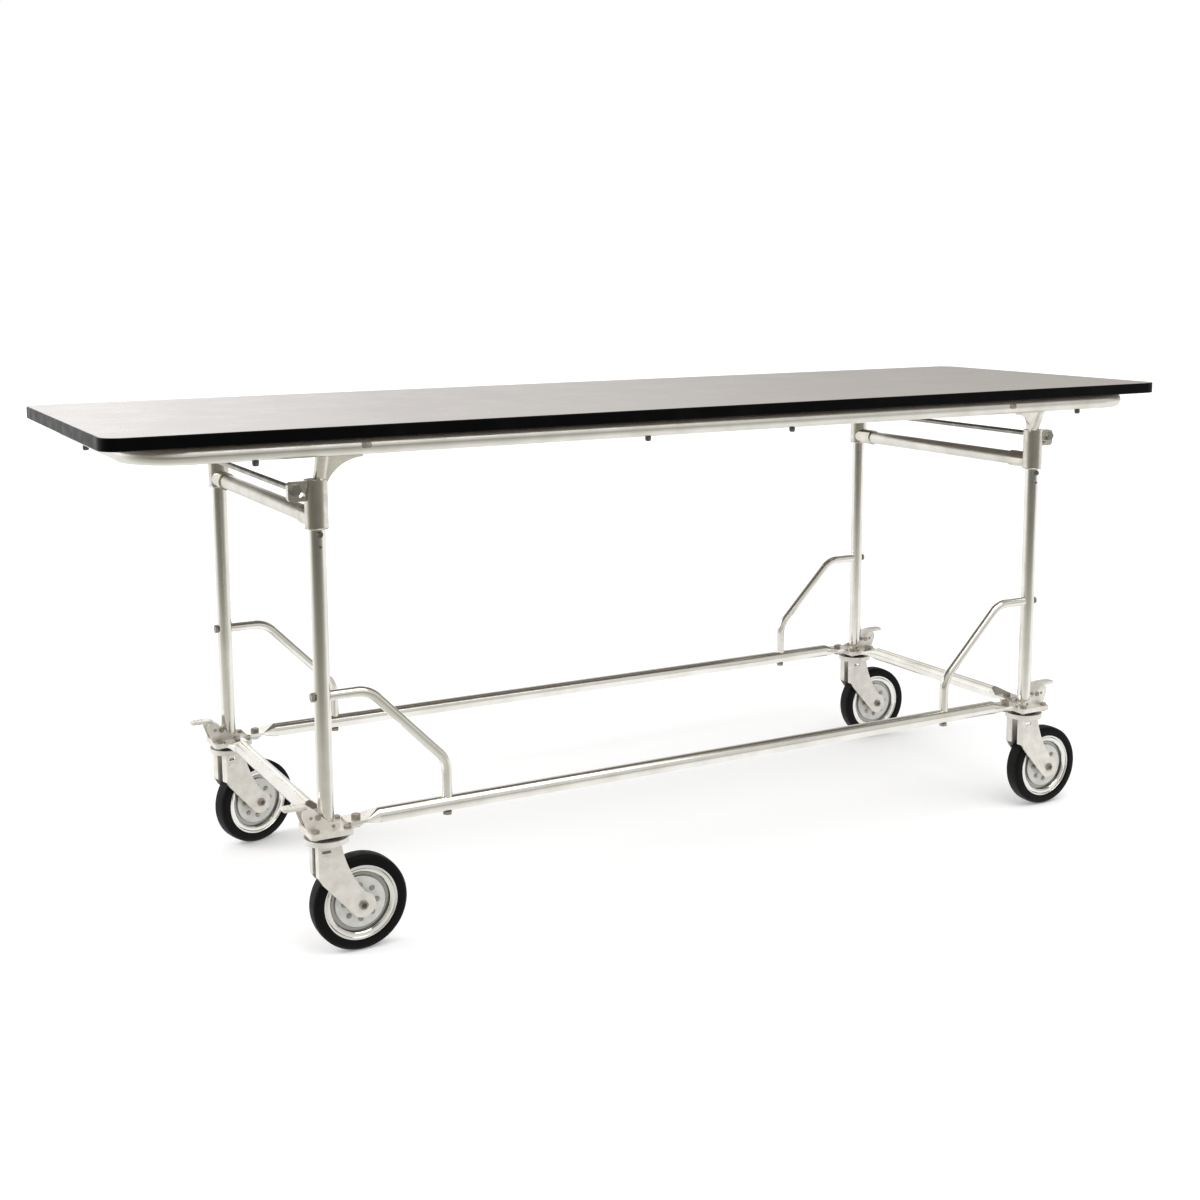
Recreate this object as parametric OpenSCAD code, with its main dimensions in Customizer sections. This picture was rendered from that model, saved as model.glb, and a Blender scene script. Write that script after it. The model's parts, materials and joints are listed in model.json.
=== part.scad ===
// Wheeled treatment table: laminated board on a tubular frame, with four swivel casters
// that are locked by foot pedals. Millimetres, +Z up, X along the board.

/* [Table top] */
// Length of the board with its edge moulding
top_length = 1990; // [1700:10:2400]
// Width of the board with its edge moulding
top_width = 620; // [520:5:760]
// Height of the laminate above the floor
top_height = 813; // [700:1:950]
// Thickness of the board with its laminate
top_thickness = 19; // [16:0.5:30]
// Radius of the board's corners in plan
top_corner_radius = 30; // [20:1:60]
// Thickness of the laminate sheet
laminate_thickness = 1; // [0.6:0.1:2]
// Thickness of the edge moulding
moulding_thickness = 3; // [2:0.5:5]

/* [Frame hoop] */
// Outer diameter of the hoop, the legs and the lower rails
frame_tube = 25.4; // [22:0.1:30]
// Wall of every frame tube
tube_wall = 1.6; // [1.2:0.1:2.5]
// From the board's end to the axis of the hoop's end
hoop_end_inset = 48; // [30:1:80]
// From the board's side to the axis of the hoop's side
hoop_side_inset = 20; // [14:1:40]
// Bend radius of the hoop's corners, at the tube's axis
hoop_bend = 85; // [60:1:120]
// Length of each bent end of the hoop along the side, to its joint
hoop_end_length = 319; // [260:1:400]

/* [Legs] */
// From the board's left end to the axis of the left legs
left_overhang = 313; // [280:1:400]
// From the board's right end to the axis of the right legs
right_overhang = 277; // [250:1:400]
// From the axis of the hoop's side in to the legs' axes
leg_inset = 25; // [20:1:32]
// Outer diameter of the cast socket round each leg's top
socket_diameter = 35; // [33:0.5:42]
// Length of the socket's sleeve
socket_length = 73; // [60:1:90]
// From the hoop's axis down to the sleeve's top
socket_drop = 48.3; // [44:0.1:60]

/* [Cross members] */
// Outer diameter of the cross tubes between the sockets
cross_tube = 25.4; // [16:0.1:28]
// From the sleeve's bottom up to the cross tube's axis
cross_rise = 14.5; // [14:0.5:30]
// Diameter of the tie rods
tie_rod = 9.5; // [8:0.5:11]
// Outer diameter of the braces
brace_tube = 16; // [14:0.5:20]
// Height of each brace's bolt in the leg, above the floor
brace_height = 405; // [360:1:500]
// Length of a brace's level upper end, from the leg's axis
brace_top_reach = 73; // [60:1:100]
// From the leg's axis to a brace's upright lower end
brace_reach = 199; // [170:1:260]
// Height of a brace's lower bend above the floor
brace_foot_height = 276; // [262:1:320]

/* [Caster] */
// Wheel diameter over the tyre
wheel_diameter = 152.4; // [127:0.1:180]
// Width of the tyre
tyre_width = 32; // [26:1:36]
// From the wheel's top up to the fork's crown
crown_rise = 35.6; // [30:0.1:50]
// From the swivel axis back to the axle
caster_trail = 48; // [40:1:60]
// Swivel angle of the front left caster
front_left_yaw = 0; // [-20:0.5:20]
// Swivel angle of the back left caster
back_left_yaw = 17; // [-20:0.5:20]
// Swivel angle of the front right caster
front_right_yaw = 0; // [-20:0.5:20]
// Swivel angle of the back right caster
back_right_yaw = -2.5; // [-20:0.5:20]

/* [Pedal lock] */
// From the leg's axis out to the pedal's pivot
pivot_reach = 17.5; // [17.2:0.1:18]
// From the pivot out to the lock pin
pin_lead = 10; // [9:0.5:10.5]
// Width of the foot pad
pedal_width = 20; // [16:1:24]
// Diameter of the lock pin
lock_pin_diameter = 6; // [5:0.5:6.5]

/* [Hidden] */
$fn = 64;

// Clearances: pieces that slip together, pieces that turn or slide, and separate moving pieces
slip = 0.1;
running = 0.05;
gap = 0.3;
seat = 0.2;
bend_lap = 1;
bend_swell = 0.2;
press_swell = 0.25;

// Levels, from the floor up
wheel_radius = wheel_diameter / 2;
crown_top = wheel_diameter + crown_rise;
crown_thickness = 3.5;
race_height = 7;
caster_plate_bottom = crown_top + race_height;
caster_plate_thickness = 4;
corner_plate_bottom = caster_plate_bottom + caster_plate_thickness;
corner_plate_thickness = 4.5;
leg_bottom = corner_plate_bottom + corner_plate_thickness;
tab_thickness = 5;
rail_height = leg_bottom + tab_thickness / 2 + seat;
board_bottom = top_height - top_thickness;
hoop_height = board_bottom - frame_tube / 2 - seat;
socket_top = hoop_height - socket_drop;
socket_bottom = socket_top - socket_length;
cross_height = socket_bottom + cross_rise;

// Places in plan
hoop_x = top_length / 2 - hoop_end_inset;
hoop_y = top_width / 2 - hoop_side_inset;
hoop_joint_x = hoop_x - hoop_end_length;
left_x = -top_length / 2 + left_overhang;
right_x = top_length / 2 - right_overhang;
leg_y = hoop_y - leg_inset;
frame_radius = frame_tube / 2;
leg_bore = frame_radius - tube_wall;

// Board screws: from the hoop's left and right ends in to the outer ones, then the inner
// ones and those of the two ends, from the board's middle
outer_screw_reach = [169, 144];
inner_screws = [-132, 150];
end_screw_y = 47;
screw_radius = 3;
screw_head_radius = 5;
screw_drop = 7.5;
screw_grip = 12;
screw_dome = 3;

// Corner ironwork
plate_half = 34;
plate_corner = 6;
tongue_half = 17;
rail_bolt_inset = 47.5;
bolt_radius = 4;
bolt_across = 13;
bolt_head = 5;
caster_bolt_place = 25;
caster_bolt_head = 3;
tab_start = 28.5;
tab_half = 18.5;
tab_end = 60;
tongue_reach = tab_end - 1.5;
tube_start = 82;
kingpin_radius = 6;
kingpin_grip = 25;
brace_plug = 34;
brace_plug_skin = 4;
race_radius = 23.5;
race_bore = 16;

// Pedal and lock pin
ear_inner = frame_radius + 0.55;
ear_thickness = 2.5;
ear_back = 16;
ear_foot = 34;
ear_tip = 42;
ear_height = 34.5;
pivot_height = leg_bottom + 20.5;
pivot_radius = 2.5;
pedal_hub = 4.4;
pin_radius = lock_pin_diameter / 2;
pin_reach = pivot_reach + pin_lead;
pin_tip = crown_top + 3.5;
pin_head_radius = 5;
pin_head = 3.5;
nose_radius = 3.5;
nose_height = pivot_height - 2.2;
pin_top = nose_height - nose_radius - gap;
pad_top = pivot_height + 18;
pad_thickness = 5;
pad_end = 69;
pad_start = 30;
bracket_web = 2.5;

// Fork, wheel and tyre
fork_sheet = 3;
fork_inner = tyre_width / 2 + 3.5;
fork_outer = fork_inner + fork_sheet;
fork_lead = 21;
fork_bend = 7;
fork_end_radius = 20;
fork_bend_height = crown_top - 60;
crown_radius = plate_half;
crown_lip = 5;
axle_radius = 5;
hub_radius = 13;
disc_radius = 41;
disc_half = 9;
tyre_wall = 16.2;
rim_radius = wheel_radius - tyre_wall;
rim_seat_radius = rim_radius - 6;
rim_half = 13;
rim_flange = 1.9;
rivet_circle = 27;

// Sockets
horn_sink = 8;
horn_base = socket_top - horn_sink;
horn_lean = atan2(leg_inset, hoop_height - horn_base);
horn_length = norm([leg_inset, hoop_height - horn_base]);
horn_radius = 10;
horn_lead = 5;
horn_web = 12;
horn_reach = 60;
collar_wall = 2.3;
collar_radius = cross_tube / 2 + slip + collar_wall;
collar_length = 36;
cross_inset = socket_diameter / 2 + 3;
stop_height = socket_bottom - 8;
lug_reach = 44;
lug_thickness = 10;
lug_hole = 9;
lug_hole_reach = 23;
lug_hole_drop = 22;
lug_bottom = socket_top - 31;
lug_top = socket_top - 2;
rod_reach = 33;
rod_height = socket_top - 13;

// Each corner: outboard sign, outward sign and swivel angle
front_left = [-1, -1, front_left_yaw];
back_left = [-1, 1, back_left_yaw];
front_right = [1, -1, front_right_yaw];
back_right = [1, 1, back_right_yaw];
corners = [front_left, back_left, front_right, back_right];

function leg_x(side) = side < 0 ? left_x : right_x;
function heading(a, b) = atan2(b[1] - a[1], b[0] - a[0]);
function half_turn(angle) = angle > 180 ? angle - 360 : angle < -180 ? angle + 360 : angle;

// Children at a leg's axis, +X towards the table's end and +Y towards its side
module at_corner(corner) {
    translate([leg_x(corner[0]), corner[1] * leg_y, 0])
        mirror([corner[0] < 0 ? 1 : 0, 0, 0])
            mirror([0, corner[1] < 0 ? 1 : 0, 0])
                children();
}

// Children in the frame of a swivelled caster, +X along its trail
module at_swivel(corner) {
    translate([leg_x(corner[0]), corner[1] * leg_y, 0])
        rotate([0, 0, corner[2]])
            children();
}

// Children at every corner in turn
module each_corner() {
    for (corner = corners)
        at_corner(corner)
            children();
}

module ring(radius, bore) {
    difference() {
        circle(r = radius);
        circle(r = bore);
    }
}

module pipe(length, radius, bore) {
    linear_extrude(length)
        ring(radius, bore);
}

module rounded_square(half_x, half_y, radius) {
    square([2 * half_x, 2 * (half_y - radius)], center = true);
    square([2 * (half_x - radius), 2 * half_y], center = true);
    for (x = [-1, 1], y = [-1, 1])
        translate([x * (half_x - radius), y * (half_y - radius)])
            circle(r = radius);
}

module hexagon(across) {
    circle(d = across / cos(30), $fn = 6);
}

// A tube along straight runs in the XY plane, each corner bent to one radius. The straight
// runs end a little way inside the bends, whose wall is a hair thicker.
module bent_pipe(route, bend, radius, bore) {
    last = len(route) - 1;
    turns = [for (i = [1 : last - 1])
        half_turn(heading(route[i], route[i + 1]) - heading(route[i - 1], route[i]))];
    cuts = concat([0], [for (turn = turns) bend * tan(abs(turn) / 2) - bend_lap], [0]);
    for (i = [0 : last - 1])
        translate([route[i][0], route[i][1], 0])
            rotate([0, 90, heading(route[i], route[i + 1])])
                translate([0, 0, cuts[i]])
                    pipe(norm(route[i + 1] - route[i]) - cuts[i] - cuts[i + 1], radius, bore);
    for (i = [1 : last - 1])
        translate([route[i][0], route[i][1], 0])
            rotate([0, 0, heading(route[i - 1], route[i])])
                mirror([0, turns[i - 1] < 0 ? 1 : 0, 0])
                    translate([-cuts[i] - bend_lap, bend, 0])
                        rotate([0, 0, -90])
                            rotate_extrude(angle = abs(turns[i - 1]))
                                translate([bend, 0])
                                    ring(radius + bend_swell, bore - bend_swell);
}

// A profile drawn with +X outwards, carried round the board's edge
module edge_sweep() {
    straight_x = top_length / 2 - top_corner_radius;
    straight_y = top_width / 2 - top_corner_radius;
    for (side = [[0, top_length, straight_y], [90, top_width, straight_x],
                 [180, top_length, straight_y], [270, top_width, straight_x]])
        rotate([0, 0, side[0]])
            translate([side[1] / 2, side[2], 0])
                rotate([90, 0, 0])
                    linear_extrude(2 * side[2])
                        children();
    for (x = [-1, 1], y = [-1, 1])
        translate([x * straight_x, y * straight_y, 0])
            rotate([0, 0, x > 0 ? (y > 0 ? 0 : -90) : (y > 0 ? 90 : 180)])
                rotate_extrude(angle = 90)
                    translate([top_corner_radius, 0])
                        children();
}

// The board and its edge
tongue_depth = 8;
tongue_thickness = 2.4;
board_half_x = top_length / 2 - moulding_thickness;
board_half_y = top_width / 2 - moulding_thickness;
board_corner = top_corner_radius - moulding_thickness;

module moulding_profile() {
    round_over = 1.5;
    translate([-moulding_thickness, 0])
        square([moulding_thickness - round_over, top_thickness]);
    translate([-moulding_thickness, round_over])
        square([moulding_thickness, top_thickness - 2 * round_over]);
    for (y = [round_over, top_thickness - round_over])
        translate([-round_over, y])
            circle(r = round_over);
    translate([-moulding_thickness - tongue_depth, (top_thickness - tongue_thickness) / 2])
        square([tongue_depth + moulding_thickness / 2, tongue_thickness]);
}

module table_board() {
    color("tan")
        difference() {
            translate([0, 0, board_bottom])
                linear_extrude(top_thickness - laminate_thickness)
                    rounded_square(board_half_x, board_half_y, board_corner);
            translate([0, 0, board_bottom])
                edge_sweep()
                    translate([-moulding_thickness - tongue_depth - slip, (top_thickness - tongue_thickness) / 2 - slip])
                        square([tongue_depth + moulding_thickness, tongue_thickness + 2 * slip]);
            hoop_screw_places()
                translate([0, 0, board_bottom - 1])
                    cylinder(r = screw_radius + slip, h = screw_grip + 1);
        }
}

module top_laminate() {
    color([0.78, 0.75, 0.72])
        translate([0, 0, top_height - laminate_thickness])
            linear_extrude(laminate_thickness)
                rounded_square(board_half_x, board_half_y, board_corner);
}

module edge_moulding() {
    color([0.05, 0.05, 0.06])
        translate([0, 0, board_bottom])
            edge_sweep()
                moulding_profile();
}

// The hoop under the board
module hoop_screw_places() {
    places = [-hoop_x + outer_screw_reach[0], inner_screws[0], inner_screws[1], hoop_x - outer_screw_reach[1]];
    for (x = places, y = [-hoop_y, hoop_y])
        translate([x, y, 0])
            children();
    for (x = [-hoop_x, hoop_x])
        translate([x, end_screw_y, 0])
            children();
}

module hoop_screw_holes() {
    hoop_screw_places()
        translate([0, 0, hoop_height - frame_tube])
            cylinder(r = screw_radius + slip, h = 2 * frame_tube);
}

module hoop_end(side) {
    color("silver")
        difference() {
            translate([0, 0, hoop_height])
                mirror([side < 0 ? 1 : 0, 0, 0])
                    bent_pipe([[hoop_joint_x, -hoop_y], [hoop_x, -hoop_y], [hoop_x, hoop_y], [hoop_joint_x, hoop_y]],
                              hoop_bend, frame_radius, leg_bore);
            hoop_screw_holes();
        }
}

module hoop_side(side) {
    color("silver")
        difference() {
            translate([-hoop_joint_x, side * hoop_y, hoop_height])
                rotate([0, 90, 0])
                    pipe(2 * hoop_joint_x, frame_radius, leg_bore);
            hoop_screw_holes();
        }
}

module board_screws() {
    color("gray")
        hoop_screw_places() {
            translate([0, 0, hoop_height - frame_radius - screw_drop])
                cylinder(r = screw_radius, h = frame_tube + screw_drop + screw_grip - 1);
            translate([0, 0, hoop_height - frame_radius - screw_drop])
                cylinder(r1 = screw_head_radius - 1, r2 = screw_head_radius, h = screw_dome);
            translate([0, 0, hoop_height - frame_radius - screw_drop + screw_dome])
                cylinder(r = screw_head_radius, h = screw_drop - screw_dome - seat);
        }
}

// The cast socket: sleeve, leaning horn under the hoop, lug for the tie rod and
// collar for the cross tube
// The web's arc leaves the horn at the sleeve's top and turns level just under the hoop
module horn_outline() {
    web_foot = horn_radius + 1;
    arc_x = horn_reach + 2;
    arc_top = horn_length - frame_radius - 2;
    arc_span = arc_x - web_foot;
    arc_y = (pow(arc_top, 2) - pow(horn_sink, 2) - pow(arc_span, 2)) / (2 * (arc_top - horn_sink));
    difference() {
        translate([-horn_reach, 0])
            square([horn_reach + horn_radius - 3, horn_length]);
        translate([-arc_x, arc_y])
            circle(r = arc_top - arc_y, $fn = 96);
    }
}

module lug_outline() {
    corner = 6;
    translate([0, lug_bottom])
        square([lug_reach - corner, lug_top - lug_bottom]);
    translate([0, lug_bottom + corner])
        square([lug_reach, lug_top - lug_bottom - 2 * corner]);
    for (y = [lug_bottom + corner, lug_top - corner])
        translate([lug_reach - corner, y])
            circle(r = corner);
}

module leg_socket(corner) {
    color([0.75, 0.75, 0.72])
        at_corner(corner)
            difference() {
                union() {
                    translate([0, 0, socket_bottom])
                        cylinder(d = socket_diameter, h = socket_length);
                    translate([-horn_lead, 0, horn_base])
                        rotate([-horn_lean, 0, 0]) {
                            cylinder(r = horn_radius, h = horn_length);
                            rotate([90, 0, 0])
                                translate([0, 0, -horn_web / 2])
                                    linear_extrude(horn_web)
                                        horn_outline();
                        }
                    rotate([90, 0, 0])
                        translate([0, 0, -lug_thickness / 2])
                            linear_extrude(lug_thickness)
                                lug_outline();
                    translate([0, 0, cross_height])
                        rotate([90, 0, 0])
                            cylinder(r = collar_radius, h = socket_diameter / 2 + collar_length);
                }
                translate([0, 0, socket_bottom - 1])
                    cylinder(r = frame_radius + slip, h = socket_length - 4);
                translate([-3 * horn_reach, leg_inset, hoop_height])
                    rotate([0, 90, 0])
                        cylinder(r = frame_radius + seat, h = 6 * horn_reach);
                translate([0, -cross_inset, cross_height])
                    rotate([90, 0, 0])
                        cylinder(d = cross_tube + 2 * slip, h = collar_length);
                translate([lug_hole_reach, lug_thickness, socket_top - lug_hole_drop])
                    rotate([90, 0, 0])
                        cylinder(d = lug_hole, h = 2 * lug_thickness);
                translate([rod_reach, lug_thickness, rod_height])
                    rotate([90, 0, 0])
                        cylinder(d = tie_rod + 2 * slip, h = 2 * lug_thickness);
            }
}

module leg(corner) {
    plug = kingpin_grip + 8;
    sunk = socket_length - 5.5;
    color("silver")
        at_corner(corner)
            difference() {
                union() {
                    translate([0, 0, leg_bottom])
                        pipe(socket_bottom + sunk - leg_bottom, frame_radius, leg_bore);
                    translate([0, 0, leg_bottom])
                        cylinder(r = leg_bore + slip, h = plug);
                }
                translate([0, 0, leg_bottom - 1])
                    cylinder(r = kingpin_radius + slip, h = kingpin_grip + 2);
                translate([0, 0, stop_height])
                    rotate([-90, 0, 0])
                        cylinder(r = screw_radius + slip, h = frame_tube);
                translate([-frame_tube, 0, brace_height])
                    rotate([0, 90, 0])
                        cylinder(r = bolt_radius + slip, h = 2 * frame_tube);
            }
}

module leg_screws() {
    color("dimgray")
        each_corner()
            translate([0, 0, stop_height])
                rotate([-90, 0, 0]) {
                    translate([0, 0, 8])
                        cylinder(r = screw_radius, h = frame_radius - 7);
                    translate([0, 0, frame_radius + slip])
                        cylinder(r1 = screw_head_radius, r2 = screw_head_radius - 1.5, h = 3);
                }
}

module cross_member(side) {
    inner = leg_y - cross_inset - seat;
    color("silver")
        translate([leg_x(side), inner, cross_height])
            rotate([90, 0, 0])
                pipe(2 * inner, cross_tube / 2, cross_tube / 2 - 1.5);
}

module tie_rod_bar(side) {
    outer = leg_y + lug_thickness / 2;
    nut = 6;
    nut_across = 15;
    color("silver")
        translate([leg_x(side) + side * rod_reach, 0, rod_height])
            rotate([90, 0, 0]) {
                cylinder(d = tie_rod, h = 2 * outer + 2 * nut + 2, center = true);
                for (end = [-1, 1])
                    translate([0, 0, end * (outer + seat + nut / 2)])
                        linear_extrude(nut, center = true)
                            hexagon(nut_across);
            }
}

// Braces from the legs down to the side rails
module brace_route_pipe(bore) {
    rotate([90, 0, 0])
        bent_pipe([[0, brace_height], [-brace_top_reach, brace_height],
                   [-brace_reach, brace_foot_height], [-brace_reach, rail_height]],
                  45, brace_tube / 2, bore);
}

module brace(corner) {
    plug = brace_plug;
    color("silver")
        at_corner(corner)
            difference() {
                union() {
                    brace_route_pipe(brace_tube / 2 - 1.5);
                    translate([-plug, 0, brace_height])
                        rotate([0, 90, 0])
                            cylinder(r = brace_tube / 2 - 1, h = plug);
                    translate([-brace_reach, 0, rail_height])
                        cylinder(r = brace_tube / 2 - 1, h = plug);
                }
                cylinder(r = frame_radius + seat, h = top_height);
                translate([-2 * brace_reach, 0, rail_height])
                    rotate([0, 90, 0])
                        cylinder(r = frame_radius + seat, h = 2 * brace_reach);
                translate([-plug + brace_plug_skin, 0, brace_height])
                    rotate([0, 90, 0])
                        cylinder(r = bolt_radius + slip, h = plug);
                translate([-brace_reach, 0, rail_height])
                    cylinder(r = bolt_radius + slip, h = plug - brace_plug_skin);
            }
}

// A bolt up through its seat, with its head below
module bolt_up(grip, head) {
    cylinder(r = bolt_radius, h = grip);
    translate([0, 0, -head])
        linear_extrude(head)
            hexagon(bolt_across);
}

module frame_bolts() {
    brace_grip = brace_plug - brace_plug_skin - 1;
    tab_grip = corner_plate_thickness + tab_thickness + 3 * seat;
    color("dimgray")
        each_corner() {
            translate([frame_radius + seat, 0, brace_height])
                rotate([0, -90, 0])
                    bolt_up(frame_radius + seat + brace_grip, bolt_head);
            translate([-brace_reach, 0, rail_height - frame_radius - seat])
                bolt_up(frame_radius + seat + brace_grip, bolt_head);
            for (place = [[-rail_bolt_inset, 0], [0, -rail_bolt_inset]])
                translate([place[0], place[1], corner_plate_bottom - seat]) {
                    bolt_up(tab_grip + 2, bolt_head - 1);
                    translate([0, 0, tab_grip])
                        linear_extrude(bolt_head)
                            hexagon(bolt_across);
                }
        }
}

// One end of a lower rail: the tube is pressed to a flat tab that is bolted down
module pressed_end() {
    hull() {
        translate([tube_start, 0, 0])
            rotate([0, 90, 0])
                cylinder(r = frame_radius + press_swell, h = 1, $fn = 32);
        translate([tab_end - 1, -tab_half, -tab_thickness / 2])
            cube([1, 2 * tab_half, tab_thickness]);
    }
    linear_extrude(tab_thickness, center = true) {
        translate([tab_start + plate_corner, -tab_half])
            square([tab_end - tab_start - plate_corner, 2 * tab_half]);
        translate([tab_start, -tab_half + plate_corner])
            square([tab_end - tab_start, 2 * (tab_half - plate_corner)]);
        for (y = [-1, 1])
            translate([tab_start + plate_corner, y * (tab_half - plate_corner)])
                circle(r = plate_corner);
    }
}

module rail(length) {
    difference() {
        union() {
            translate([tube_start, 0, 0])
                rotate([0, 90, 0])
                    cylinder(r = frame_radius, h = length - 2 * tube_start);
            pressed_end();
            translate([length, 0, 0])
                mirror([1, 0, 0])
                    pressed_end();
        }
        for (x = [rail_bolt_inset, length - rail_bolt_inset])
            translate([x, 0, -frame_radius])
                cylinder(r = bolt_radius + slip, h = frame_tube);
    }
}

module side_rail(side) {
    color("silver")
        difference() {
            translate([left_x, side * leg_y, rail_height])
                rail(right_x - left_x);
            for (x = [left_x + brace_reach, right_x - brace_reach])
                translate([x, side * leg_y, rail_height - frame_tube])
                    cylinder(r = bolt_radius + slip, h = 2 * frame_tube);
        }
}

module end_rail(side) {
    color("silver")
        translate([leg_x(side), -leg_y, rail_height])
            rotate([0, 0, 90])
                rail(2 * leg_y);
}

// Corner plates, with a tongue under each rail's tab
module plate_holes(pin_clearance) {
    circle(r = kingpin_radius + slip);
    translate([pin_reach, 0])
        circle(r = pin_radius + pin_clearance);
    for (x = [-1, 1], y = [-1, 1])
        translate([x * caster_bolt_place, y * caster_bolt_place])
            circle(r = bolt_radius + slip);
}

module tongue_outline() {
    translate([-tongue_reach + tongue_half, -tongue_half])
        square([tongue_reach - tongue_half, 2 * tongue_half]);
    translate([-tongue_reach + tongue_half, 0])
        circle(r = tongue_half);
}

module corner_plates() {
    color([0.78, 0.77, 0.74])
        each_corner()
            translate([0, 0, corner_plate_bottom])
                linear_extrude(corner_plate_thickness)
                    difference() {
                        union() {
                            rounded_square(plate_half, plate_half, plate_corner);
                            tongue_outline();
                            rotate([0, 0, 90])
                                tongue_outline();
                        }
                        plate_holes(running);
                        for (place = [[-rail_bolt_inset, 0], [0, -rail_bolt_inset]])
                            translate(place)
                                circle(r = bolt_radius + slip);
                    }
}

// Brackets that straddle each leg and carry the pedal: low behind the leg, rising over the
// pivot, with a bevelled tip
module ear_outline() {
    bevel = 4;
    polygon([[-ear_back, 0], [-ear_back, 6.5], [0, 10.5], [ear_tip - 14, ear_height],
             [ear_tip - bevel, ear_height], [ear_tip, ear_height - bevel],
             [ear_tip, ear_height - 12], [ear_foot, 0]]);
}

module pedal_brackets() {
    web_half = ear_inner + ear_thickness;
    color([0.8, 0.79, 0.76])
        each_corner()
            translate([0, 0, leg_bottom])
                difference() {
                    union() {
                        for (side = [-1, 1])
                            translate([0, side * (ear_inner + ear_thickness / 2), 0])
                                rotate([90, 0, 0])
                                    linear_extrude(ear_thickness, center = true)
                                        ear_outline();
                        translate([-ear_back, -web_half, 0])
                            cube([ear_back + ear_foot, 2 * web_half, bracket_web]);
                    }
                    translate([0, 0, -1])
                        cylinder(r = frame_radius + seat, h = bracket_web + 2);
                    translate([pin_reach, 0, -1])
                        cylinder(r = pin_radius + running, h = bracket_web + 2);
                    translate([pivot_reach, 2 * frame_tube, pivot_height - leg_bottom])
                        rotate([90, 0, 0])
                            cylinder(r = pivot_radius + slip, h = 4 * frame_tube);
                }
}

module pedal_pins() {
    reach = ear_inner + ear_thickness;
    color("dimgray")
        each_corner()
            translate([pivot_reach, 0, pivot_height])
                rotate([90, 0, 0]) {
                    cylinder(r = pivot_radius, h = 2 * reach + 2, center = true);
                    for (side = [-1, 1])
                        translate([0, 0, side * (reach + slip + 1)])
                            cylinder(r = pivot_radius + 1.8, h = 2, center = true);
                }
}

// The stationary half of each caster: plate and upper race
module caster_plates() {
    color([0.76, 0.75, 0.72])
        each_corner() {
            translate([0, 0, caster_plate_bottom])
                linear_extrude(caster_plate_thickness)
                    difference() {
                        rounded_square(plate_half, plate_half, plate_corner);
                        plate_holes(4 * slip);
                    }
            rotate_extrude()
                translate([0, crown_top + gap])
                    polygon([[race_bore, 0], [race_radius - 3, 0], [race_radius, 3],
                             [race_radius, race_height - gap], [race_bore, race_height - gap]]);
        }
}

module caster_bolts() {
    grip = caster_plate_thickness + corner_plate_thickness;
    color("dimgray")
        each_corner()
            for (x = [-1, 1], y = [-1, 1])
                translate([x * caster_bolt_place, y * caster_bolt_place, caster_plate_bottom]) {
                    cylinder(r = bolt_radius, h = grip);
                    translate([0, 0, -caster_bolt_head])
                        cylinder(r1 = bolt_radius, r2 = bolt_radius + 2, h = caster_bolt_head);
                    translate([0, 0, grip])
                        linear_extrude(bolt_head - 1)
                            hexagon(bolt_across - 2);
                }
}

module kingpins() {
    washer = 1.5;
    washer_radius = 12;
    nut = 8;
    nut_across = 19;
    under_crown = crown_top - crown_thickness - gap;
    color("dimgray")
        each_corner() {
            translate([0, 0, under_crown - nut - washer - 2])
                cylinder(r = kingpin_radius, h = leg_bottom + kingpin_grip - under_crown + nut + washer + 2);
            translate([0, 0, under_crown - washer])
                cylinder(r = washer_radius, h = washer);
            translate([0, 0, under_crown - nut - washer])
                linear_extrude(nut)
                    hexagon(nut_across);
        }
}

// The turning half: a pressed fork with a round boss and a slot in each leg
function below_tangent(from, centre, radius) =
    let (line = centre - from,
         swing = atan2(line[1], line[0]) - asin(radius / norm(line)))
    centre + radius * [cos(swing - 90), sin(swing - 90)];

module fork_side() {
    corner = [-fork_lead + 6, fork_bend_height - 10];
    axle = [caster_trail, wheel_radius];
    scoop_radius = 173.7;
    scoop = [187.4, crown_top + 17.4];
    difference() {
        polygon([[-fork_lead, crown_top], [-fork_lead, fork_bend_height], corner,
                 below_tangent(corner, axle, fork_end_radius), axle,
                 axle + [fork_end_radius, fork_end_radius], [fork_end_radius + 8, crown_top]]);
        translate(scoop)
            circle(r = scoop_radius, $fn = 128);
    }
    translate(axle)
        circle(r = fork_end_radius);
}

module fork_section() {
    difference() {
        union() {
            translate([-fork_outer, 0])
                square([2 * fork_outer, crown_top - fork_bend]);
            translate([-fork_outer + fork_bend, 0])
                square([2 * (fork_outer - fork_bend), crown_top]);
            for (y = [-1, 1])
                translate([y * (fork_outer - fork_bend), crown_top - fork_bend])
                    circle(r = fork_bend);
        }
        translate([-fork_inner, -1])
            square([2 * fork_inner, crown_top - crown_thickness + 1]);
    }
}

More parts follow.
